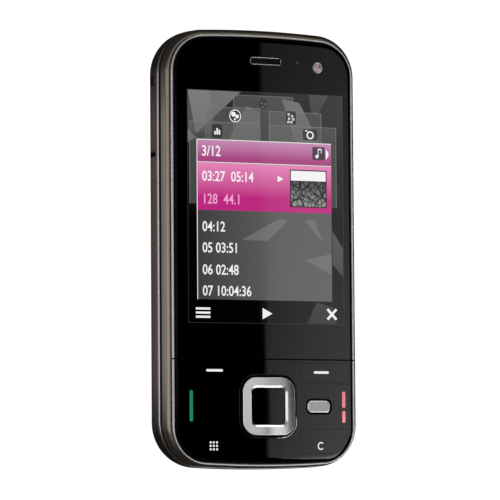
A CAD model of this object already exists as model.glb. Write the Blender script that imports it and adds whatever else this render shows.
import bmesh
import bpy
from math import cos, radians, sin, sqrt
from mathutils import Matrix, Vector


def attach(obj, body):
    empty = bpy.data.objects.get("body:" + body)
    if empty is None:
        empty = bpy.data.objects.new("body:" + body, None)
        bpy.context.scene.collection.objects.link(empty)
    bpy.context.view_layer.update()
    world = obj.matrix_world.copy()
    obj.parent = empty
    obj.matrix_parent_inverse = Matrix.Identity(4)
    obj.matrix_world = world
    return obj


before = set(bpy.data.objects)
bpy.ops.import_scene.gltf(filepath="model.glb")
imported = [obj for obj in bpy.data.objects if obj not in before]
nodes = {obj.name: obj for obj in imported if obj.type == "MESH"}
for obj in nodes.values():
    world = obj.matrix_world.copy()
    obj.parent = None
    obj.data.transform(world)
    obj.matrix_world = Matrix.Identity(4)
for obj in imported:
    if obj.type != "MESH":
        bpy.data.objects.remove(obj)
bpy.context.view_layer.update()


# ---------------------------------------------------------------- rear housing
# The lower half of the phone is one deep tray of glass-filled nylon. It is injection moulded with a fine grain and
# sprayed in a dark brown metallic lacquer, and hands rub its edges smooth.

def add(tree, kind, inputs=None, **options):
    """A shader node. An input takes a plain value, or is linked when it is given a socket."""
    node = tree.nodes.new(f"ShaderNode{kind}")
    for name, setting in options.items():
        setattr(node, name, setting)
    for name, entry in (inputs or {}).items():
        if isinstance(entry, bpy.types.NodeSocket):
            tree.links.new(entry, node.inputs[name])
        else:
            node.inputs[name].default_value = entry
    return node


def maths(tree, operation, *terms):
    """The result of one operation on its terms."""
    return add(tree, "Math", dict(enumerate(terms)), operation=operation).outputs[0]


def times(tree, *factors):
    """The product of some values."""
    product = factors[0]
    for factor in factors[1:]:
        product = maths(tree, "MULTIPLY", product, factor)
    return product


def ramp(tree, value, start, end, low=0.0, high=1.0):
    """A clamped straight run from low at start to high at end."""
    limits = {"From Min": start, "From Max": end, "To Min": low, "To Max": high}
    return add(tree, "MapRange", {"Value": value, **limits}).outputs[0]


def blend(tree, share, first, second, kind="RGBA", way="MIX"):
    """A mix that is first where share is 0 and second where it is 1."""
    return add(tree, "Mix", {"Factor": share, "A": first, "B": second}, data_type=kind,
               blend_type=way).outputs["Result"]


def noise(tree, place, scale, detail, distortion=0.0):
    """A cloudy value between 0 and 1."""
    return add(tree, "TexNoise", {"Vector": place, "Scale": scale, "Detail": detail,
                                  "Distortion": distortion}).outputs["Fac"]


def effect(name, inputs, outputs):
    """An empty shader node group with named sockets, and the sockets as seen from inside."""
    group = bpy.data.node_groups.new(name, "ShaderNodeTree")
    for title, kind in inputs:
        group.interface.new_socket(title, in_out="INPUT", socket_type=f"NodeSocket{kind}")
    for title, kind in outputs:
        group.interface.new_socket(title, in_out="OUTPUT", socket_type=f"NodeSocket{kind}")
    return group, group.nodes.new("NodeGroupInput").outputs, group.nodes.new("NodeGroupOutput").inputs


def grain_effect():
    """Moulded grain: specks of a second colour, and the height that goes with them."""
    group, given, out = effect(
        "Moulded grain",
        [("Position", "Vector"), ("Colour", "Color"), ("Speck", "Color"), ("Scale", "Float"), ("Amount", "Float")],
        [("Colour", "Color"), ("Height", "Float")])
    height = ramp(group, noise(group, given["Position"], given["Scale"], 3.0), 0.35, 0.7)
    cloud = ramp(group, noise(group, given["Position"], 90.0, 2.0), 0.3, 0.7, 0.6)
    share = times(group, height, cloud, given["Amount"])
    group.links.new(blend(group, share, given["Colour"], given["Speck"]), out["Colour"])
    group.links.new(height, out["Height"])
    return group


WEAR_RADIUS = 0.00018


def wear_effect():
    """Edge wear: a mask that is 1 on sharp edges where hands rub, broken up so that it isn't even."""
    group, given, out = effect("Edge wear", [("Position", "Vector"), ("Amount", "Float")], [("Mask", "Float")])
    soft = add(group, "Bevel", {"Radius": WEAR_RADIUS}, samples=4)
    face = add(group, "NewGeometry")
    turn = add(group, "VectorMath", {0: soft.outputs[0], 1: face.outputs["Normal"]}, operation="DOT_PRODUCT")
    edge = ramp(group, turn.outputs["Value"], 0.995, 0.93)
    patch = ramp(group, noise(group, given["Position"], 420.0, 4.0), 0.38, 0.62)
    group.links.new(times(group, edge, patch, given["Amount"]), out["Mask"])
    return group


moulded_grain = grain_effect()
edge_wear = wear_effect()
WORN = (0.3, 0.27, 0.24, 1)
GRAIN_DEPTH = 0.00004


def new_finish(name, roughness, metallic=0.0, **constants):
    """A new material: its node tree, its shader and its Object coordinates."""
    material = bpy.data.materials.new(name)
    material.use_nodes = True
    tree = material.node_tree
    tree.nodes.clear()
    shader = add(tree, "BsdfPrincipled", {"Roughness": roughness, "Metallic": metallic})
    for title, number in constants.items():
        shader.inputs[title.replace("_", " ")].default_value = number
    add(tree, "OutputMaterial", {"Surface": shader.outputs[0]})
    return material, tree, shader, add(tree, "TexCoord").outputs["Object"]


def grained(name, colour, speck, scale, amount, bump, roughness, wear=0.0, **more):
    """A moulded or painted finish: fine grain in colour and in height, and rubbed edges."""
    material, tree, shader, position = new_finish(name, roughness, **more)
    grain = add(tree, "Group", {"Position": position, "Colour": colour, "Speck": speck, "Scale": scale,
                                "Amount": amount}, node_tree=moulded_grain)
    rubbed = add(tree, "Group", {"Position": position, "Amount": wear}, node_tree=edge_wear)
    tree.links.new(blend(tree, rubbed.outputs["Mask"], grain.outputs["Colour"], WORN), shader.inputs["Base Color"])
    dents = add(tree, "Bump", {"Height": grain.outputs["Height"], "Strength": bump, "Distance": GRAIN_DEPTH})
    tree.links.new(dents.outputs[0], shader.inputs["Normal"])
    return material


def dress(finish, *names):
    """Gives CAD nodes their finish."""
    for name in names:
        nodes[name].data.materials.clear()
        nodes[name].data.materials.append(finish)


def gather(title, *names):
    """A collection of CAD nodes, for the lights that are linked to it."""
    group = bpy.data.collections.new(title)
    for name in names:
        group.objects.link(nodes[name])
    return group


SIDE_KEYS = ("volume_key", "capture_key", "lock_switch", "power_key")
shell_pieces = gather("shell pieces", "rear_housing", *SIDE_KEYS, "card_door", "battery_cover", "lens_cover",
                      "base_trim")
rear_shell = grained("rear shell nylon", (0.11, 0.082, 0.067, 1), (0.15, 0.118, 0.098, 1), 2600.0, 0.55, 0.25, 0.28,
                     wear=0.3, metallic=0.85)
dress(rear_shell, "rear_housing", "card_door")


# ---------------------------------------------------------------- bright line round the shell
# A narrow moulded bezel closes the shell's open edge. It is vacuum plated in bright nickel, so it shows as a thin
# light line between the shell and the moving half.

def scuff_effect():
    """Handling marks: fine streaks that roughen a polished face here and there."""
    group, given, out = effect(
        "Handling marks", [("Position", "Vector"), ("Least", "Float"), ("Most", "Float")], [("Roughness", "Float")])
    long = add(group, "Mapping", {"Vector": given["Position"], "Rotation": (0, 0, 0.6), "Scale": (1.0, 9.0, 1.0)})
    marks = times(group, noise(group, long.outputs[0], 160.0, 5.0, 0.4), noise(group, given["Position"], 55.0, 2.0))
    group.links.new(ramp(group, marks, 0.12, 0.42, given["Least"], given["Most"]), out["Roughness"])
    return group


handling_marks = scuff_effect()


def polished(name, colour, least, most, **more):
    """A smooth finish whose gloss changes a little with handling."""
    material, tree, shader, position = new_finish(name, least, **more)
    marks = add(tree, "Group", {"Position": position, "Least": least, "Most": most}, node_tree=handling_marks)
    tree.links.new(marks.outputs["Roughness"], shader.inputs["Roughness"])
    darker = tuple(0.9 * part for part in colour[:3]) + (1,)
    tree.links.new(blend(tree, noise(tree, position, 240.0, 2.0), colour, darker), shader.inputs["Base Color"])
    return material


bright_trim = polished("plated nickel", (0.66, 0.6, 0.59, 1), 0.28, 0.32, metallic=0.9)
dress(bright_trim, "base_trim")


# ---------------------------------------------------------------- moving half: brown frame and slide plate
# The frame that carries the screen is die-cast magnesium, sprayed in a warm brown metallic lacquer. Under it sits
# a stamped stainless plate that runs in the guide.

LEVEL_FADE = 0.00003
DULL = 0.9


def axis(tree, vector, letter):
    """One part of a vector: X, Y or Z."""
    return add(tree, "SeparateXYZ", {"Vector": vector}).outputs[letter]


def level_effect():
    """Level band: a mask that is 1 between two heights and fades over a short way at each."""
    group, given, out = effect(
        "Level band", [("Position", "Vector"), ("Low", "Float"), ("High", "Float")], [("Mask", "Float")])
    height = axis(group, given["Position"], "Z")
    masks = [ramp(group, maths(group, "SUBTRACT", upper, lower), 0.0, LEVEL_FADE)
             for upper, lower in ((height, given["Low"]), (given["High"], height))]
    group.links.new(times(group, *masks), out["Mask"])
    return group


level_band = level_effect()


def opened(material):
    """The node tree, shader and Object coordinates of a finish that is to be added to."""
    tree = material.node_tree
    return tree, tree.nodes["Principled BSDF"], tree.nodes["Texture Coordinate"].outputs["Object"]


def paint_band(material, low, high, paint=None):
    """Leaves a finish dull between two heights, given in metres, and paints it over where a paint is given."""
    tree, shader, position = opened(material)
    band = add(tree, "Group", {"Position": position, "Low": low, "High": high}, node_tree=level_band)
    for title, cover, kind in (("Base Color", paint, "RGBA"), ("Roughness", DULL, "FLOAT")):
        if cover is not None:
            socket = shader.inputs[title]
            plain = socket.links[0].from_socket if socket.links else socket.default_value
            tree.links.new(blend(tree, band.outputs["Mask"], plain, cover, kind), socket)


frame_brown = grained("brown metallic lacquer", (0.24, 0.2, 0.168, 1), (0.36, 0.305, 0.24, 1), 5200.0, 0.6, 0.06,
                      0.3, metallic=0.85)
SEAL_BLACK = (0.002, 0.002, 0.002, 1)
BROWN_LOW = 0.00985
BROWN_HIGH = 0.0127
FRAME_TOP = 0.02
paint_band(frame_brown, 0.0, BROWN_LOW, SEAL_BLACK)
paint_band(frame_brown, BROWN_HIGH, FRAME_TOP, SEAL_BLACK)
dress(frame_brown, "slider_housing")


def brushed_effect():
    """Brushed lines: long fine scratches along Y, as a colour share and as a roughness."""
    group, given, out = effect(
        "Brushed lines", [("Position", "Vector"), ("Scale", "Float")], [("Share", "Float"), ("Roughness", "Float")])
    long = add(group, "Mapping", {"Vector": given["Position"], "Scale": (1.0, 0.02, 1.0)})
    lines = noise(group, long.outputs[0], given["Scale"], 4.0)
    group.links.new(lines, out["Share"])
    group.links.new(ramp(group, lines, 0.0, 1.0, 0.22, 0.42), out["Roughness"])
    return group


brushed_lines = brushed_effect()


def brushed(name, light, dark, scale):
    """A metal that was brushed or rolled in one direction."""
    material, tree, shader, position = new_finish(name, 0.3, metallic=1.0)
    lines = add(tree, "Group", {"Position": position, "Scale": scale}, node_tree=brushed_lines)
    tree.links.new(blend(tree, lines.outputs["Share"], dark, light), shader.inputs["Base Color"])
    tree.links.new(lines.outputs["Roughness"], shader.inputs["Roughness"])
    return material


steel = brushed("stamped steel", (0.62, 0.62, 0.63, 1), (0.42, 0.42, 0.44, 1), 4200.0)
dress(steel, "slide_plate", "slide_guide", "usb_socket", "card_socket", "microphone", "vibration_motor",
      "housing_screws")


# ---------------------------------------------------------------- rims round the face
# Two narrow bows of satin stainless steel hold the face plates down, one round the window and one round the
# function keys. Their top edge is polished.

rim_metal = polished("satin rim steel", (0.62, 0.61, 0.62, 1), 0.34, 0.38, metallic=0.85)
dress(rim_metal, "upper_rim", "lower_rim")
rims = gather("rims", "upper_rim", "lower_rim")
bright_metal = gather("bright metal", "navi_ring", "multimedia_key")
bright_metal.children.link(rims)
upper_metal = gather("upper metal", "slider_housing")
upper_metal.children.link(bright_metal)


# ---------------------------------------------------------------- black face
# The window and the function keys are clear acrylic, back-painted black and hard coated. The face is slightly
# barrelled from side to side.

FACE_PIECES = ("display_window", "function_key_panel", "left_select_key", "right_select_key", "call_key", "end_key",
               "menu_key", "clear_key")
black_glass = polished("black hard-coated acrylic", (0.0012, 0.0012, 0.0013, 1), 0.012, 0.03, IOR=1.5)
COAT_FOOT = 0.0144
paint_band(black_glass, 0.0, COAT_FOOT)
dress(black_glass, *FACE_PIECES)
mirror_face = gather("mirror face", *FACE_PIECES, "centre_key")


# ---------------------------------------------------------------- lit screen
# The display shines through the window: a dark faceted wallpaper, see-through cards with small symbols, a
# magenta list box and soft key marks. Each layer is a film that follows the face.

MM = 0.001
FACE_TOP = 15.4
CROWN_RADIUS = 600.0
STRIP = 2
STRIPS_REACH = 22
LAYER = 0.01


def face_height(x):
    """Height of the barrelled face at x, in mm."""
    return FACE_TOP - CROWN_RADIUS + sqrt(CROWN_RADIUS ** 2 - x ** 2)


def flat_plate(bm, left, right, low, high, corner=0.0):
    """A flat rectangle, with round corners if asked."""
    size = Matrix.Translation(((left + right) / 2, (low + high) / 2, 0)) @ Matrix.Diagonal(
        ((right - left) / 2, (high - low) / 2, 1, 1))
    made = bmesh.ops.create_grid(bm, x_segments=1, y_segments=1, size=1, matrix=size)
    if corner:
        bmesh.ops.bevel(bm, geom=made["verts"], offset=corner, affect="VERTICES", segments=8, profile=0.5,
                        material=-1)


def flat_frame(bm, left, right, low, high, corner, width):
    """The outline of a rounded rectangle, a given width inwards."""
    flat_plate(bm, left, right, low, high, corner)
    middle = bm.faces[:]
    bmesh.ops.inset_region(bm, faces=middle, thickness=width, use_even_offset=True, use_boundary=True)
    bmesh.ops.delete(bm, geom=middle, context="FACES")


def flat_disc(bm, x, y, radius, segments=32):
    bmesh.ops.create_circle(bm, cap_ends=True, segments=segments, radius=radius, matrix=Matrix.Translation((x, y, 0)))


def flat_ring(bm, x, y, outer, inner, segments=32):
    """A flat ring between two circles."""
    edges = []
    for radius in (outer, inner):
        made = bmesh.ops.create_circle(bm, segments=segments, radius=radius, matrix=Matrix.Translation((x, y, 0)))
        edges += {edge for vert in made["verts"] for edge in vert.link_edges}
    bmesh.ops.bridge_loops(bm, edges=edges)


def flat_shape(bm, *points):
    bm.faces.new([bm.verts.new((x, y, 0)) for x, y in points])


CAP_SHARE = 0.7
BOLD = 0.04


def flat_text(bm, words, x, y, tall, squeeze=0.8):
    """Figures whose lower left corner is at x, y, as flat faces."""
    curve = bpy.data.curves.new("figures", "FONT")
    curve.body = words
    curve.size = tall / CAP_SHARE
    curve.resolution_u = 4
    curve.offset = BOLD
    holder = bpy.data.objects.new("figures", curve)
    bpy.context.scene.collection.objects.link(holder)
    bpy.context.view_layer.update()
    mesh = bpy.data.meshes.new_from_object(holder.evaluated_get(bpy.context.evaluated_depsgraph_get()))
    mesh.transform(Matrix.Translation((x, y, 0)) @ Matrix.Diagonal((squeeze, 1, 1, 1)))
    bm.from_mesh(mesh)
    bpy.data.objects.remove(holder)
    bpy.data.curves.remove(curve)
    bpy.data.meshes.remove(mesh)


def thicken(bm, low, high):
    """Turns flat outlines into thin closed solids from low to high."""
    bmesh.ops.remove_doubles(bm, verts=bm.verts, dist=0.0001)
    for vert in bm.verts:
        vert.co.z = low
    made = bmesh.ops.extrude_face_region(bm, geom=bm.faces[:])
    raised = [item for item in made["geom"] if isinstance(item, bmesh.types.BMVert)]
    bmesh.ops.translate(bm, verts=raised, vec=(0, 0, high - low))
    bmesh.ops.recalc_face_normals(bm, faces=bm.faces)


def bend_to_face(bm):
    """Cuts the solids into narrow strips and lays them on the barrelled face."""
    for x in range(-STRIPS_REACH, STRIPS_REACH + 1, STRIP):
        bmesh.ops.bisect_plane(bm, geom=bm.verts[:] + bm.edges[:] + bm.faces[:], dist=0.0001,
                               plane_co=(x, 0, 0), plane_no=(1, 0, 0))
    for vert in bm.verts:
        vert.co.z += face_height(vert.co.x)


def set_piece(bm, name, body, finish, smooth=None):
    """Makes the built shape an object in metres that moves with a body."""
    bmesh.ops.scale(bm, vec=(MM, MM, MM), verts=bm.verts)
    mesh = bpy.data.meshes.new(name)
    bm.to_mesh(mesh)
    bm.free()
    mesh.materials.append(finish)
    if smooth:
        mesh.shade_smooth()
        mesh.set_sharp_from_angle(angle=radians(smooth))
    piece = bpy.data.objects.new(name, mesh)
    bpy.context.scene.collection.objects.link(piece)
    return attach(piece, body)


def film(name, layer, finish, draw, body="display_half", sunk=0.03):
    """One layer of the screen, or a printed mark: flat outlines drawn by draw, laid on the face."""
    bm = bmesh.new()
    draw(bm)
    thicken(bm, -sunk, LAYER + LAYER * layer)
    bend_to_face(bm)
    piece = set_piece(bm, name, body, finish)
    mirror_face.objects.link(piece)
    return piece


def grey_colour(tree, value):
    """The grey of a value."""
    return add(tree, "CombineColor", {0: value, 1: value, 2: value}).outputs[0]


def facet_effect():
    """Wallpaper facets: flat grey shards, each with its own brightness and slope."""
    group, given, out = effect("Wallpaper facets", [("Position", "Vector")], [("Colour", "Color")])
    slant = add(group, "Mapping", {"Vector": given["Position"], "Rotation": (0, 0, 0.55), "Scale": (1.0, 0.62, 1.0)})
    shard = add(group, "TexVoronoi", {"Vector": slant.outputs[0], "Scale": 78.0, "Randomness": 1.0},
                voronoi_dimensions="2D")
    chance = add(group, "SeparateColor", {"Color": shard.outputs["Color"]}).outputs[0]
    level = ramp(group, chance, 0.45, 1.0, 0.01, 0.075)
    high = ramp(group, axis(group, given["Position"], "Y"), 0.008, 0.03, 0.02, 1.0)
    slope = ramp(group, shard.outputs["Distance"], 0.0, 1.0, 1.15, 0.45)
    group.links.new(grey_colour(group, times(group, level, high, slope)), out["Colour"])
    return group


wallpaper_facets = facet_effect()


def glowing(name, **more):
    """A new finish for a lit film under glass."""
    return new_finish(name, 0.03, IOR=1.5, Emission_Strength=1.0, Base_Color=(0.002, 0.002, 0.002, 1), **more)


def lit(name, low, high, across=False, start=-0.018, end=0.036, facets=0.0, alpha=1.0):
    """A lit layer whose colour runs from low to high along the screen, with a share of the wallpaper's facets."""
    material, tree, shader, position = glowing(name, Alpha=alpha)
    run = ramp(tree, axis(tree, position, "X" if across else "Y"), start, end)
    pattern = add(tree, "Group", {"Position": position}, node_tree=wallpaper_facets)
    glow = blend(tree, facets, blend(tree, run, low, high), pattern.outputs["Colour"], way="ADD")
    tree.links.new(glow, shader.inputs["Emission Color"])
    return material


SCREEN_SIDE = 20.1
SCREEN_LOW = -17.75
SCREEN_HIGH = 36.34
BOX_LEFT = -17.8
BOX_RIGHT = 16.9
BOX_LOW = -12.3
BOX_TOP = 24.7
LIST_TOP = 8.4
CHOICE_TOP = 19.4

wallpaper = lit("lit wallpaper", (0.0002, 0.0002, 0.0002, 1), (0.016, 0.015, 0.015, 1), start=0.006, facets=1.0)
film("screen_wallpaper", 0, wallpaper,
     lambda bm: flat_plate(bm, -SCREEN_SIDE, SCREEN_SIDE, SCREEN_LOW, SCREEN_HIGH))

edge_light = lit("lit screen edge", (0.03, 0.03, 0.031, 1), (0.04, 0.04, 0.041, 1))
film("screen_edge", 1, edge_light,
     lambda bm: flat_frame(bm, -SCREEN_SIDE, SCREEN_SIDE, SCREEN_LOW, SCREEN_HIGH, 0.2, 0.12))

shard_light = lit("lit shard", (0.06, 0.062, 0.064, 1), (0.27, 0.27, 0.27, 1), alpha=0.6)


def draw_shards(bm):
    flat_shape(bm, (-19.9, 36.2), (-6.5, 36.2), (-18.0, 26.0))
    flat_shape(bm, (-20.0, 27.0), (-17.8, 25.2), (-20.0, 24.0))
    flat_shape(bm, (4.0, 35.0), (8.6, 34.2), (14.2, 24.6), (7.6, 24.7))
    flat_shape(bm, (-5.0, 33.0), (-1.8, 31.6), (-2.0, 25.0), (-9.8, 24.8))
    flat_shape(bm, (17.1, 4.4), (19.9, 0.2), (19.9, -6.4), (17.1, -3.6))
    flat_shape(bm, (12.9, -12.6), (17.0, -13.6), (18.0, -17.5), (10.2, -17.5))


film("screen_shards", 1, shard_light, draw_shards)

card_light = lit("lit card", (0.10, 0.115, 0.105, 1), (0.15, 0.16, 0.15, 1), alpha=0.4)
card_edge = lit("lit card edge", (0.30, 0.32, 0.31, 1), (0.22, 0.24, 0.23, 1), alpha=0.5)
CARDS = ((-8.5, 7.0, 35.5), (-15.6, -1.6, 32.5), (-19.6, -1.6, 29.0), (0.7, 14.4, 32.0), (0.7, 18.3, 28.7))
CARD_LOW = 9.8
LINE = 0.16

for number, (left, right, top) in enumerate(CARDS, start=1):
    film(f"screen_card_{number}", 1 + number * 0.5, card_light,
         lambda bm: flat_plate(bm, left, right, CARD_LOW, top))

    def draw_card_edges(bm):
        flat_plate(bm, left, right, top - LINE, top)
        flat_plate(bm, left, left + LINE, CARD_LOW, top - LINE)
        flat_plate(bm, right - LINE, right, CARD_LOW, top - LINE)

    film(f"screen_card_edge_{number}", 1.25 + number * 0.5, card_edge, draw_card_edges)

header_light = lit("lit header", (0.39, 0.06, 0.22, 1), (0.56, 0.26, 0.45, 1), start=0.0205, end=0.0247)
film("screen_header", 4, header_light, lambda bm: flat_plate(bm, BOX_LEFT, BOX_RIGHT, 19.7, BOX_TOP))
choice_light = lit("lit choice", (0.5, 0.022, 0.21, 1), (0.77, 0.235, 0.48, 1), start=0.0115, end=0.0194)
film("screen_choice", 4, choice_light, lambda bm: flat_plate(bm, BOX_LEFT, BOX_RIGHT, LIST_TOP, CHOICE_TOP))
panel_light = lit("lit list panel", (0.05, 0.05, 0.05, 1), (0.115, 0.112, 0.11, 1), across=True, start=-0.0178,
                  end=0.004)
film("screen_list_panel", 4, panel_light, lambda bm: flat_plate(bm, BOX_LEFT, BOX_RIGHT, BOX_LOW, LIST_TOP))

faint_light = lit("lit panel shard", (0.24, 0.24, 0.235, 1), (0.26, 0.26, 0.255, 1), alpha=0.4)


def draw_panel_shards(bm):
    flat_shape(bm, (-6.6, 1.6), (0.1, 1.6), (5.5, 6.4), (3.4, 6.9))
    flat_shape(bm, (10.0, 6.4), (14.4, 1.8), (12.4, 6.9))
    flat_shape(bm, (9.9, -2.7), (16.8, -5.9), (16.8, -1.1))


film("screen_panel_shards", 4.4, faint_light, draw_panel_shards)

white_light = lit("lit white", (0.86, 0.86, 0.86, 1), (0.9, 0.9, 0.9, 1))


def draw_lines(bm):
    flat_plate(bm, BOX_LEFT, BOX_LEFT + LINE, BOX_LOW, BOX_TOP)
    for low in (BOX_TOP, 19.45):
        flat_plate(bm, BOX_LEFT, BOX_RIGHT, low, low + LINE)


film("screen_lines", 5, white_light, draw_lines)


TEXT_LEFT = -16.5
TEXT_TALL = 2.3


def draw_list(bm):
    flat_text(bm, "3/12", -16.6, 21.0, 2.4)
    for words, low in (("03:27  05:14", 15.2), ("04:12", 3.5), ("05 03:51", -1.4), ("06 02:48", -6.5),
                       ("07 10:04:36", -11.4)):
        flat_text(bm, words, TEXT_LEFT, low, TEXT_TALL)
    flat_shape(bm, (2.8, 15.4), (4.3, 16.15), (2.8, 16.9))
    for row in range(3):
        flat_plate(bm, -18.2, -14.6, -16.6 + 0.95 * row, -16.1 + 0.95 * row)
    flat_shape(bm, (-1.3, -16.7), (1.2, -15.4), (-1.3, -14.1))
    flat_shape(bm, (15.4, -16.3), (15.8, -16.7), (18.2, -14.3), (17.8, -13.9))
    flat_shape(bm, (17.8, -16.7), (18.2, -16.3), (15.8, -13.9), (15.4, -14.3))


film("screen_figures", 6, white_light, draw_list)
icon_dark = lit("lit icon ground", (0.018, 0.019, 0.02, 1), (0.035, 0.037, 0.04, 1), alpha=0.9)
ICONS = ((-0.8, 33.6), (-8.0, 30.5), (-12.6, 26.8), (6.4, 30.6), (11.4, 26.8))


def draw_icon_grounds(bm):
    flat_disc(bm, *ICONS[0], 1.15)
    flat_disc(bm, *ICONS[1], 1.6)
    for x, y in ICONS[2:4]:
        flat_plate(bm, x - 1.3, x + 1.3, y - 1.55, y + 1.55, 0.4)
    x, y = ICONS[4]
    flat_plate(bm, x - 1.9, x + 1.9, y - 1.3, y + 1.3, 0.4)
    flat_plate(bm, 11.95, 15.25, 20.95, 24.0, 0.3)


film("screen_icon_grounds", 5, icon_dark, draw_icon_grounds)


def draw_icons(bm):
    x, y = ICONS[1]
    flat_ring(bm, x, y, 1.5, 1.3)
    flat_disc(bm, x - 0.45, y + 0.4, 0.62, 7)
    flat_disc(bm, x + 0.5, y - 0.1, 0.5, 6)
    flat_disc(bm, x - 0.1, y - 0.8, 0.3, 5)
    x, y = ICONS[2]
    for bar, tall in enumerate((0.8, 1.5, 1.1)):
        flat_plate(bm, x - 0.75 + 0.55 * bar, x - 0.35 + 0.55 * bar, y - 0.8, y - 0.8 + tall)
    x, y = ICONS[3]
    for column, row in ((-0.6, 0.8), (0.3, 0.4), (-0.5, -0.2), (0.6, -0.3), (-0.7, -1.0), (0.1, -1.0)):
        flat_ring(bm, x + column, y + row, 0.3, 0.14, 12)
    x, y = ICONS[4]
    flat_ring(bm, x, y - 0.1, 0.95, 0.62)
    flat_plate(bm, x - 1.3, x - 0.7, y + 0.75, y + 1.05, 0.1)
    flat_disc(bm, 13.15, 21.75, 0.42, 16)
    flat_plate(bm, 13.4, 13.58, 21.75, 23.6)
    flat_plate(bm, 13.4, 14.4, 23.3, 23.6)
    flat_plate(bm, 14.22, 14.4, 22.5, 23.6)
    flat_shape(bm, (15.5, 21.1), (16.1, 21.7), (16.25, 22.3), (16.1, 22.9), (15.5, 23.5))


film("screen_icons", 6, white_light, draw_icons)


def draw_ball(bm):
    x, y = ICONS[0]
    flat_shape(bm, (x - 0.9, y + 0.1), (x - 0.3, y - 0.2), (x, y + 0.5))
    flat_shape(bm, (x + 0.2, y - 0.1), (x + 0.9, y - 0.3), (x + 0.8, y + 0.4))
    flat_shape(bm, (x - 0.5, y - 0.8), (x + 0.3, y - 0.9), (x, y - 0.45))


film("screen_ball", 6, card_edge, draw_ball)


def cracked_effect():
    """Thumbnail pattern: a net of dark lines over grey, paler towards the bottom."""
    group, given, out = effect("Thumbnail pattern", [("Position", "Vector")], [("Colour", "Color")])
    lines = []
    for scale, width in ((720.0, 0.16), (330.0, 0.12)):
        cells = add(group, "TexVoronoi", {"Vector": given["Position"], "Scale": scale}, feature="DISTANCE_TO_EDGE",
                    voronoi_dimensions="2D")
        lines.append(ramp(group, cells.outputs["Distance"], 0.0, width))
    fade = ramp(group, axis(group, given["Position"], "Y"), 0.0155, 0.0098, 0.08, 0.3)
    group.links.new(grey_colour(group, times(group, *lines, fade)), out["Colour"])
    return group


THUMBNAIL = (6.0, 15.65, 9.64, 18.45)
picture_light, tree, shader, position = glowing("lit thumbnail")
pattern = add(tree, "Group", {"Position": position}, node_tree=cracked_effect())
tree.links.new(pattern.outputs["Colour"], shader.inputs["Emission Color"])
film("screen_thumbnail", 5, picture_light, lambda bm: flat_plate(bm, *THUMBNAIL))
film("screen_thumbnail_side", 5.5, white_light, lambda bm: flat_plate(bm, 6.25, 15.4, 15.9, 18.2))
frame_light = lit("lit thumbnail frame", (0.006, 0.006, 0.006, 1), (0.01, 0.01, 0.01, 1))
film("screen_thumbnail_frame", 6, frame_light, lambda bm: flat_frame(bm, *THUMBNAIL, 0.05, 0.22))

pink_light = lit("lit pale pink", (0.80, 0.32, 0.58, 1), (0.85, 0.40, 0.62, 1))
film("screen_second_line", 6, pink_light, lambda bm: flat_text(bm, "128  44.1", TEXT_LEFT, 9.9, TEXT_TALL))


# ---------------------------------------------------------------- front camera, earpiece and light sensor
# A small camera looks through a hole in the window behind a coated dome. The earpiece slot has a plated frame with a
# woven steel mesh behind it, and the light sensor is a grey dot.

def dome(bm, x, y, radius, middle, height):
    """A shallow closed dome over a round hole."""
    bmesh.ops.create_uvsphere(bm, u_segments=40, v_segments=20, radius=radius, matrix=Matrix.Translation(
        (x, y, middle)) @ Matrix.Diagonal((1, 1, height / radius, 1)))


def solid(name, draw, body, finish, smooth=None, receivers=None):
    """A piece built by draw in mm, set down in metres; receivers is a collection whose lights it takes."""
    bm = bmesh.new()
    draw(bm)
    piece = set_piece(bm, name, body, finish, smooth)
    if receivers:
        receivers.objects.link(piece)
    return piece


def lip(name, corners, corner, width, low, high, body, finish, receivers=None):
    """A thin rounded bead along a rounded rectangle, given as left, right, low and high."""
    def draw(bm):
        flat_frame(bm, *corners, corner, width)
        thicken(bm, low, high)
        top = [edge for edge in bm.edges if all(vert.co.z > high - 0.001 for vert in edge.verts)
               and len({face.normal.z > 0.5 for face in edge.link_faces}) > 1]
        bmesh.ops.bevel(bm, geom=top, offset=width * 0.4, affect="EDGES", segments=3, profile=0.5, material=-1)
    return solid(name, draw, body, finish, 60, receivers)


CAMERA = (13.74, 42.76)
EARPIECE_Y = 43.66
camera_grey = polished("camera dome", (0.42, 0.42, 0.42, 1), 0.36, 0.42, metallic=0.6)
camera_pink = polished("coated lens pink", (0.62, 0.36, 0.44, 1), 0.26, 0.32, metallic=0.6)
lens_core = polished("lens core", (0.03, 0.008, 0.012, 1), 0.05, 0.08)
solid("front_camera_dome", lambda bm: dome(bm, *CAMERA, 1.46, 14.85, 0.34), "display_half", camera_grey,
      30, bright_metal)
solid("front_camera_lens", lambda bm: dome(bm, *CAMERA, 0.82, 15.02, 0.2), "display_half", camera_pink,
      30, bright_metal)
solid("front_camera_core", lambda bm: dome(bm, CAMERA[0] + 0.1, CAMERA[1] + 0.1, 0.22, 15.17, 0.06), "display_half",
      lens_core, 30)
liner_metal = polished("plated liner", (0.42, 0.42, 0.43, 1), 0.22, 0.26, metallic=1.0)
lip("earpiece_liner", (-4.05, 4.05, EARPIECE_Y - 0.9, EARPIECE_Y + 0.9), 0.75, 0.2, 14.6, 15.32, "display_half",
    liner_metal, bright_metal)


def weave_effect():
    """Woven mesh: a fine square lattice of wires, as a brightness share."""
    group, given, out = effect("Woven mesh", [("Position", "Vector")], [("Share", "Float")])
    waves = [add(group, "TexWave", {"Vector": given["Position"], "Scale": 900.0}, wave_type="BANDS",
                 bands_direction=way).outputs["Fac"] for way in ("X", "Y")]
    group.links.new(times(group, *waves), out["Share"])
    return group


mesh_finish, tree, shader, position = new_finish("steel mesh", 0.3, metallic=0.9)
weave = add(tree, "Group", {"Position": position}, node_tree=weave_effect())
wires = blend(tree, weave.outputs["Share"], (0.004, 0.004, 0.004, 1), (0.06, 0.06, 0.06, 1))
tree.links.new(wires, shader.inputs["Base Color"])


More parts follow.
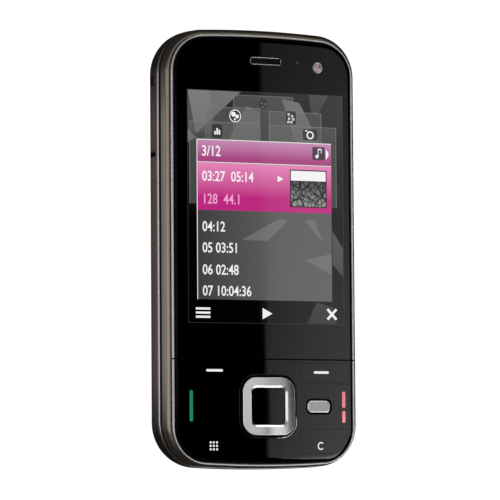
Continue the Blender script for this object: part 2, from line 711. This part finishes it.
def draw_mesh_plate(bm):
    flat_plate(bm, -3.85, 3.85, EARPIECE_Y - 0.72, EARPIECE_Y + 0.72, 0.6)
    thicken(bm, 14.3, 14.5)


solid("earpiece_mesh", draw_mesh_plate, "display_half", mesh_finish)
sensor_grey = lit("sensor dot", (0.035, 0.035, 0.035, 1), (0.04, 0.04, 0.04, 1), start=0.042, end=0.045)
film("light_sensor", 1, sensor_grey, lambda bm: flat_disc(bm, 8.25, 43.63, 0.34, 16))


# ---------------------------------------------------------------- navigation ring and centre keys
# The square ring is die-cast zinc in satin nickel with polished chamfers. The key inside it is black acrylic and
# the oval key beside it is satin metal.

def vector_maths(tree, operation, *terms):
    """The vector that one operation makes of its terms."""
    return add(tree, "VectorMath", dict(enumerate(terms)), operation=operation).outputs[0]


def leaning_effect():
    """Leaning normals: a surface that leans away from a middle point, more with distance, by a gain in 1/m."""
    group, given, out = effect("Leaning normals", [("Position", "Vector"), ("Middle", "Vector"), ("Gain", "Vector")],
                               [("Normal", "Vector")])
    away = vector_maths(group, "SUBTRACT", given["Position"], given["Middle"])
    slope = vector_maths(group, "MULTIPLY", away, given["Gain"])
    raised = vector_maths(group, "ADD", slope, (0.0, 0.0, 1.0))
    group.links.new(vector_maths(group, "NORMALIZE", raised), out["Normal"])
    return group


leaning = leaning_effect()


def lean(material, middle, gain):
    """Lets a flat top mirror like a slightly bulged one."""
    tree, shader, position = opened(material)
    tilt = add(tree, "Group", {"Position": position, "Middle": middle, "Gain": gain}, node_tree=leaning)
    tree.links.new(tilt.outputs["Normal"], shader.inputs["Normal"])


def tip_effect():
    """Raised normals: the true normal drawn towards straight up, as on a softly rolled edge."""
    group, given, out = effect("Raised normals", [("Normal", "Vector"), ("Lift", "Float")], [("Normal", "Vector")])
    lift = add(group, "CombineXYZ", {"Z": given["Lift"]}).outputs[0]
    raised = vector_maths(group, "ADD", given["Normal"], lift)
    group.links.new(vector_maths(group, "NORMALIZE", raised), out["Normal"])
    return group


RING_MIDDLE = (0.0, -0.03693, 0.0)
ring_metal = polished("satin nickel", (0.54, 0.54, 0.55, 1), 0.2, 0.24, metallic=1.0)
lean(ring_metal, RING_MIDDLE, (44.0, 5.0, 0.0))
polished_edge = polished("polished chamfer", (0.8, 0.8, 0.8, 1), 0.3, 0.34, metallic=1.0)
tree, shader, position = opened(polished_edge)
true_normal = add(tree, "NewGeometry").outputs["Normal"]
tip = add(tree, "Group", {"Normal": true_normal, "Lift": 0.9}, node_tree=tip_effect())
tree.links.new(tip.outputs["Normal"], shader.inputs["Normal"])
dark_side = grained("dark ring side", (0.012, 0.012, 0.012, 1), (0.02, 0.02, 0.02, 1), 3000.0, 0.4, 0.1, 0.4)
pill_metal = polished("satin grey metal", (0.46, 0.46, 0.47, 1), 0.3, 0.34, metallic=1.0)
FLAT_TOP = 0.98
STEEP_SIDE = 0.1
for name, top in (("navi_ring", ring_metal), ("multimedia_key", pill_metal)):
    dress(top, name)
    for finish in (polished_edge, dark_side):
        nodes[name].data.materials.append(finish)
    for face in nodes[name].data.polygons:
        face.material_index = 0 if face.normal.z > FLAT_TOP else 1 if face.normal.z > STEEP_SIDE else 2
dark_lip = polished("dark bead", (0.05, 0.05, 0.05, 1), 0.2, 0.24, metallic=1.0)
tree, shader, position = opened(dark_lip)
corner = maths(tree, "SUBTRACT", axis(tree, position, "X"), axis(tree, position, "Y"))
gleam = ramp(tree, corner, 0.0462, 0.0480)
tree.links.new(blend(tree, gleam, (0.03, 0.03, 0.03, 1), (0.9, 0.9, 0.9, 1)), shader.inputs["Base Color"])
lip("moat_lip", (-7.38, 7.38, -44.31, -29.55), 3.98, 0.14, 14.9, 15.38, "display_half", dark_lip,
    bright_metal)
seal_paint = grained("matt black paint", (0.0008, 0.0008, 0.0008, 1), (0.0012, 0.0012, 0.0012, 1), 2000.0, 0.3, 0.05,
                     0.9)


def draw_gasket(bm):
    """The foam strip in the seam between the window and the function keys."""
    flat_plate(bm, -23.3, 23.3, -26.14, -25.86)
    thicken(bm, 13.2, 13.9)


solid("seam_gasket", draw_gasket, "display_half", seal_paint)
film("oval_key_surround", 1, seal_paint, lambda bm: flat_frame(bm, 9.83, 16.57, -38.8, -35.06, 1.3, 0.27))
centre_black = polished("black centre key", (0.0012, 0.0012, 0.0013, 1), 0.02, 0.04, IOR=1.5)
lean(centre_black, (0.0006, RING_MIDDLE[1], 0.0), (2.2, 0.0, 0.0))
dress(centre_black, "centre_key")


# ---------------------------------------------------------------- number keys and media keys
# Twelve number keys and four media keys are moulded polycarbonate with a gloss black coat, over a foil with
# snap domes. The figures are windows in the black coat, lit from behind.

key_cap = polished("gloss black key", (0.012, 0.012, 0.013, 1), 0.08, 0.16, IOR=1.5)
NUMBER_KEYS = ("1", "2", "3", "4", "5", "6", "7", "8", "9", "star", "0", "hash")
MEDIA_KEYS = ("previous", "play", "stop", "next")
dress(key_cap, *(f"key_{name}" for name in NUMBER_KEYS), *(f"media_{name}_key" for name in MEDIA_KEYS))
deck_black = grained("deck black", (0.012, 0.012, 0.013, 1), (0.03, 0.03, 0.032, 1), 3000.0, 0.4, 0.15, 0.3)
dress(deck_black, "keypad_deck")
KEY_TOP = 8.75
COLUMNS = (-14.75, 0.0, 14.75)
ROWS = (-20.23, -28.55, -36.86, -45.17)
FIGURE_TALL = 2.6
print_white = lit("lit key figures", (0.60, 0.62, 0.63, 1), (0.64, 0.66, 0.67, 1), start=-0.05, end=0.045)


def printed(name, draw, body, top=KEY_TOP):
    """A figure or sign in the coat of a flat key top."""
    def draw_print(bm):
        draw(bm)
        thicken(bm, top - 0.02, top + 0.01)
    return solid(name, draw_print, body, print_white)


def turned_bar(bm, x, y, angle, reach, half):
    """A flat bar round a middle point, turned by an angle in degrees; reach and half are half its sides."""
    turned = Matrix.Rotation(radians(angle), 4, "Z") @ Matrix.Diagonal((reach, half, 1, 1))
    return bmesh.ops.create_grid(bm, x_segments=1, y_segments=1, size=1,
                                 matrix=Matrix.Translation((x, y, 0)) @ turned)["verts"]


def draw_star(bm, x, y):
    for turn in range(3):
        bar = turned_bar(bm, x, y, 60 * turn + 30, 1.0, 0.17)
        bmesh.ops.translate(bm, verts=bar, vec=(0, 0, 0.001 * turn))


def draw_hash(bm, x, y):
    for part in (-0.42, 0.42):
        flat_plate(bm, x - 1.05, x + 1.05, y + part - 0.14, y + part + 0.14)
        turned_bar(bm, x + part, y, 80, 1.15, 0.14)


for number, name in enumerate(NUMBER_KEYS):
    x, y = COLUMNS[number % 3], ROWS[number // 3]
    if name.isdigit():
        printed(f"figure_{name}", lambda bm: flat_text(bm, name, x - 0.9, y - FIGURE_TALL / 2, FIGURE_TALL, 0.95),
                f"key_{name}")
printed("figure_star", lambda bm: draw_star(bm, COLUMNS[0], ROWS[3]), "key_star")
printed("figure_hash", lambda bm: draw_hash(bm, COLUMNS[2], ROWS[3]), "key_hash")
MEDIA_Y = 42.65
SIGN = 1.1


def upright(bm, left, right):
    """A bar as tall as the signs."""
    flat_plate(bm, left, right, MEDIA_Y - SIGN, MEDIA_Y + SIGN)


def arrow(bm, x, way):
    """A triangle whose flat side is at x, pointing the way given by its sign."""
    points = [(x, MEDIA_Y - SIGN), (x + way * SIGN * 1.6, MEDIA_Y), (x, MEDIA_Y + SIGN)]
    flat_shape(bm, *(points if way > 0 else points[::-1]))


def draw_previous(bm):
    upright(bm, -18.5, -18.15)
    arrow(bm, -16.35, -1)
    arrow(bm, -14.5, -1)


def draw_next(bm):
    arrow(bm, 14.5, 1)
    arrow(bm, 16.35, 1)
    upright(bm, 18.15, 18.5)


def draw_play(bm):
    arrow(bm, -7.0, 1)
    upright(bm, -4.7, -4.25)
    upright(bm, -3.7, -3.25)


printed("sign_previous", draw_previous, "media_previous_key")
printed("sign_play", draw_play, "media_play_key")
printed("sign_stop", lambda bm: flat_plate(bm, 4.5, 6.6, MEDIA_Y - 1.05, MEDIA_Y + 1.05), "media_stop_key")
printed("sign_next", draw_next, "media_next_key")


# ---------------------------------------------------------------- call, end and soft key marks
# The marks on the function keys are windows in the black paint, lit from behind: white dashes, a green bar, a red
# pair of bars, a square of dots and a C.

mark_white = lit("lit mark white", (0.80, 0.80, 0.80, 1), (0.84, 0.84, 0.84, 1), start=-0.05, end=-0.02)
mark_green = lit("lit mark green", (0.012, 0.25, 0.115, 1), (0.016, 0.21, 0.10, 1), start=-0.041, end=-0.033)
mark_red = lit("lit mark red", (0.84, 0.25, 0.29, 1), (0.76, 0.16, 0.20, 1), start=-0.041, end=-0.033)
film("left_dash", 1, mark_white, lambda bm: flat_plate(bm, -15.7, -11.5, -28.98, -28.4, 0.27), "left_select_key")
film("right_dash", 1, mark_white, lambda bm: flat_plate(bm, 11.9, 15.86, -29.25, -28.67, 0.27), "right_select_key")
film("call_bar", 1, mark_green, lambda bm: flat_plate(bm, -19.88, -19.06, -40.5, -33.27, 0.4), "call_key")


def draw_end_bars(bm):
    flat_plate(bm, 19.33, 20.19, -37.2, -33.35, 0.42)
    flat_plate(bm, 19.33, 20.19, -40.7, -37.9, 0.42)


film("end_bars", 1, mark_red, draw_end_bars, "end_key")


def draw_menu_dots(bm):
    for column in range(3):
        for row in range(3):
            flat_disc(bm, -14.7 + 0.8 * column, -46.9 + 0.8 * row, 0.27, 12)


film("menu_dots", 1, mark_white, draw_menu_dots, "menu_key")
film("clear_mark", 1, mark_white, lambda bm: flat_text(bm, "C", 12.7, -47.0, 1.8, 0.85), "clear_key")


# ---------------------------------------------------------------- back: covers and camera
# The battery cover and the lens cover are moulded from the same nylon as the shell, with a finer grain and a
# thinner lacquer. The camera looks out through a coated glass disc.

def cover_nylon(name):
    """The finish of both covers."""
    return grained(name, (0.085, 0.075, 0.068, 1), (0.13, 0.115, 0.10, 1), 3600.0, 0.6, 0.3, 0.38, wear=0.3,
                   metallic=0.2)


dress(cover_nylon("cover nylon"), "lens_cover")
GRIP_PITCH = 5200.0
GRIP_Y = 0.005
GRIP_WIDE = 0.009
GRIP_TALL = 0.003


def grip_effect():
    """Thumb grip: a patch of small raised dots, as a height."""
    group, given, out = effect("Thumb grip", [("Position", "Vector")], [("Height", "Float")])
    waves = []
    inside = []
    for letter, middle, reach in (("X", 0.0, GRIP_WIDE), ("Y", GRIP_Y, GRIP_TALL)):
        place = axis(group, given["Position"], letter)
        off = maths(group, "ABSOLUTE", maths(group, "SUBTRACT", place, middle))
        waves.append(maths(group, "SINE", times(group, place, GRIP_PITCH)))
        inside.append(maths(group, "LESS_THAN", off, reach))
    group.links.new(times(group, *waves, *inside), out["Height"])
    return group


grip_shell = cover_nylon("battery cover nylon")
tree, shader, position = opened(grip_shell)
grip = add(tree, "Group", {"Position": position}, node_tree=grip_effect())
dots = add(tree, "Bump", {"Height": grip.outputs["Height"], "Strength": 0.8, "Distance": 0.0004})
tree.links.new(dots.outputs[0], shader.inputs["Normal"])
dress(grip_shell, "battery_cover")
lens_glass = polished("coated lens", (0.012, 0.010, 0.02, 1), 0.02, 0.05, IOR=1.6)
dress(lens_glass, "camera_lens")
LENS_MIDDLE = (0.0, 37.8)


def draw_bezel(bm):
    flat_ring(bm, *LENS_MIDDLE, 3.55, 3.25, 64)
    thicken(bm, 1.2, 1.5)


solid("lens_bezel", draw_bezel, "base", liner_metal, 40)


def draw_lens_parts(bm):
    """Two rings of the lens barrel, seen through the glass disc."""
    for outer, inner in ((2.9, 2.2), (1.9, 1.3)):
        flat_ring(bm, *LENS_MIDDLE, outer, inner, 48)
    thicken(bm, 1.225, 1.24)


barrel = grained("lens barrel", (0.05, 0.05, 0.052, 1), (0.09, 0.09, 0.092, 1), 5000.0, 0.4, 0.1, 0.3)
solid("lens_rings", draw_lens_parts, "base", barrel)
led_white = grained("diffuser", (0.85, 0.83, 0.6, 1), (0.95, 0.92, 0.75, 1), 1500.0, 0.4, 0.1, 0.25)
dress(led_white, "flash_led")


# ---------------------------------------------------------------- side keys
# The volume rocker, the camera key, the lock switch and the power key are moulded in a grey-brown nylon and stand
# a little proud of the shell.

side_key = grained("side key nylon", (0.15, 0.14, 0.13, 1), (0.2, 0.185, 0.17, 1), 3000.0, 0.5, 0.2, 0.36, wear=0.4,
                   metallic=0.3)
dress(side_key, *SIDE_KEYS)


# ---------------------------------------------------------------- inner pieces
# Circuit boards, battery, foil and the small modules sit inside the housings. They are bought-in parts of moulded
# plastic, glass laminate and plated metal, and clips and screws hold them.

dark_plastic = grained("module plastic", (0.03, 0.03, 0.03, 1), (0.06, 0.06, 0.06, 1), 2500.0, 0.5, 0.3, 0.5)
dress(dark_plastic, "camera_module", "loudspeakers", "headphone_socket", "earpiece", "front_camera", "display_module")
board_green = grained("solder mask", (0.01, 0.10, 0.05, 1), (0.02, 0.17, 0.08, 1), 900.0, 0.5, 0.2, 0.3)
dress(board_green, "main_board")
board_black = grained("black solder mask", (0.003, 0.003, 0.003, 1), (0.006, 0.006, 0.006, 1), 900.0, 0.5, 0.1, 0.7)
dress(board_black, "key_board")
foil = grained("dome foil", (0.6, 0.6, 0.58, 1), (0.75, 0.75, 0.72, 1), 2200.0, 0.5, 0.2, 0.45)
dress(foil, "keypad_domes")
nickel = polished("nickel plate", (0.6, 0.58, 0.54, 1), 0.18, 0.3, metallic=1.0)
nodes["headphone_socket"].data.materials.append(nickel)
SOCKET_FACE = 0.0492
for face in nodes["headphone_socket"].data.polygons:
    face.material_index = int(face.center.y > SOCKET_FACE)


def print_band(material, low, high, paint):
    """A band of print across a wrapped piece, between two y values."""
    tree, shader, position = opened(material)
    along = axis(tree, position, "Y")
    inside = times(tree, maths(tree, "GREATER_THAN", along, low), maths(tree, "LESS_THAN", along, high))
    under = shader.inputs["Base Color"].links[0].from_socket
    tree.links.new(blend(tree, inside, under, paint), shader.inputs["Base Color"])


battery_wrap = grained("battery wrap", (0.25, 0.27, 0.29, 1), (0.32, 0.34, 0.36, 1), 1800.0, 0.5, 0.1, 0.5)
print_band(battery_wrap, 0.0, 0.003, (0.02, 0.05, 0.12, 1))
print_band(battery_wrap, -0.04, -0.0395, (0.02, 0.02, 0.02, 1))
dress(battery_wrap, "battery")
copper = brushed("bare copper", (0.80, 0.45, 0.28, 1), (0.6, 0.32, 0.2, 1), 3000.0)
dress(copper, "antenna")


# ---------------------------------------------------------------- studio
# A pale floor under the phone, a dark surround with one pale card to its right, soft lights, and a camera on a long
# lens. The lights pass over the black face, so that it mirrors only the card.

scene = bpy.context.scene
scene.view_settings.view_transform = "Standard"

FLOOR_SIZE = 8.0
bm = bmesh.new()
bmesh.ops.create_grid(bm, x_segments=1, y_segments=1, size=FLOOR_SIZE, matrix=Matrix.Translation((0, 0, -0.0001)))
mesh = bpy.data.meshes.new("floor")
bm.to_mesh(mesh)
bm.free()
floor = bpy.data.objects.new("floor", mesh)
scene.collection.objects.link(floor)
floor_paint, tree, shader, position = new_finish("pale floor", 0.9)
shader.inputs["Specular IOR Level"].default_value = 0.0
shader.inputs["Emission Color"].default_value = (1, 1, 1, 1)
seen = add(tree, "LightPath").outputs["Is Camera Ray"]
along = maths(tree, "ABSOLUTE", axis(tree, position, "Y"))
aside = axis(tree, position, "X")
bounce = times(tree, ramp(tree, along, 0.03, 0.045, 1.0, 0.01),
               times(tree, ramp(tree, aside, -0.0255, -0.036, 0.1), ramp(tree, aside, -0.05, -0.075, 1.0, 0.35)))
tree.links.new(blend(tree, seen, (0.12, 0.12, 0.12, 1), (0.8, 0.8, 0.8, 1)), shader.inputs["Base Color"])
tree.links.new(blend(tree, seen, bounce, 1.0, "FLOAT"), shader.inputs["Emission Strength"])
mesh.materials.append(floor_paint)

AZIMUTH = radians(25.24)
LIFT = radians(-3.97)
ROLL = radians(-0.39)
DISTANCE = 0.8449
AIM = Vector((0, 0, 0.008))
ASIDE = (0.00085, 0.00007)
LENS_LENGTH = 259.2
SENSOR_WIDTH = 36.0
NEAREST = 0.01
back = Vector((-sin(AZIMUTH) * cos(LIFT), sin(LIFT), cos(AZIMUTH) * cos(LIFT)))
level_right = Vector((0, 1, 0)).cross(back).normalized()
level_up = back.cross(level_right)
right = cos(ROLL) * level_right + sin(ROLL) * level_up
up = cos(ROLL) * level_up - sin(ROLL) * level_right
lens = bpy.data.cameras.new("camera")
lens.lens = LENS_LENGTH
lens.sensor_width = SENSOR_WIDTH
lens.clip_start = NEAREST
camera = bpy.data.objects.new("camera", lens)
spot = AIM + DISTANCE * back - ASIDE[0] * right - ASIDE[1] * up
camera.matrix_world = Matrix((right, up, back)).transposed().to_4x4()
camera.matrix_world.translation = spot
scene.collection.objects.link(camera)
scene.camera = camera

# The card is laid out by the direction's x, and by y over z. Only mirrored rays see it.
CARD_EDGE = 0.4291
CARD_SLANT = 0.063
CARD_FAR = 0.78
CARD_SOFT = 0.004
CARD_TOP = 0.155
CARD_LOW_END = -1.9
world = bpy.data.worlds.new("studio surround")
scene.world = world
world.use_nodes = True
sky = world.node_tree
sky.nodes.clear()
direction = add(sky, "SeparateXYZ", {"Vector": add(sky, "TexCoord").outputs["Generated"]})
aside = direction.outputs["X"]
along = maths(sky, "DIVIDE", direction.outputs["Y"], maths(sky, "MAXIMUM", direction.outputs["Z"], 0.02))
slanted = maths(sky, "MULTIPLY_ADD", along, CARD_SLANT, aside)
inside = times(sky, ramp(sky, slanted, CARD_EDGE, CARD_EDGE + CARD_SOFT), ramp(sky, aside, CARD_FAR, CARD_FAR - 0.06),
               ramp(sky, along, CARD_TOP + 0.005, CARD_TOP - 0.005),
               ramp(sky, along, CARD_LOW_END, CARD_LOW_END + 0.05))
# The card glows more towards its low end and its far side, and a faint band lies along the horizon.
down = ramp(sky, along, 0.139, 0.0)
near = maths(sky, "ADD", ramp(sky, down, 0.0, 1.0, 0.26, 0.62), ramp(sky, along, 0.0, -1.9, 0.0, 1.6))
growth = times(sky, ramp(sky, down, 0.0, 1.0, 0.7, 1.3), ramp(sky, aside, 0.426, 0.515))
card = times(sky, inside, near, maths(sky, "ADD", growth, 1.0))
mirror = maths(sky, "MAXIMUM", card, ramp(sky, direction.outputs["Z"], 0.3, 0.05, 0.0, 0.06))
path = add(sky, "LightPath")
plain = blend(sky, path.outputs["Is Camera Ray"], 0.05, 1.0, "FLOAT")
shiny = blend(sky, path.outputs["Is Glossy Ray"], plain, mirror, "FLOAT")
light = add(sky, "Background", {"Strength": shiny, "Color": (1, 1, 1, 1)})
add(sky, "OutputWorld", {"Surface": light.outputs[0]})

for item in mirror_face.collection_objects:
    item.light_linking.link_state = "EXCLUDE"


def soft_light(name, place, size, power, receivers, length=None):
    """A soft light aimed at the phone, for the pieces that a collection names."""
    lamp = bpy.data.lights.new(name, "AREA")
    lamp.shape = "RECTANGLE"
    lamp.size = size
    lamp.size_y = length or size
    lamp.energy = power
    holder = bpy.data.objects.new(name, lamp)
    holder.location = place
    holder.rotation_euler = (AIM - Vector(place)).to_track_quat("-Z", "Y").to_euler()
    holder.light_linking.receiver_collection = receivers
    scene.collection.objects.link(holder)


for settings in (
        ("left softbox", (-0.92, -0.02, 0.8), 0.5, 4.2, mirror_face, 1.6),
        ("high metal light", (0.06, 0.06, 1.1), 0.7, 1.5, upper_metal),
        ("near metal light", (0.42, -0.72, 0.72), 0.4, 0.8, bright_metal),
        ("far metal light", (0.42, 0.72, 0.72), 0.4, 1.8, bright_metal),
        ("right rim light", (1.0, 0.03, 0.3), 0.4, 1.8, rims),
        ("right edge light", (1.0, 0.03, 0.3), 0.15, 0.28, bright_metal),
        ("right shell light", (0.8, -0.45, 0.2), 0.8, 5.0, shell_pieces)):
    soft_light(*settings)
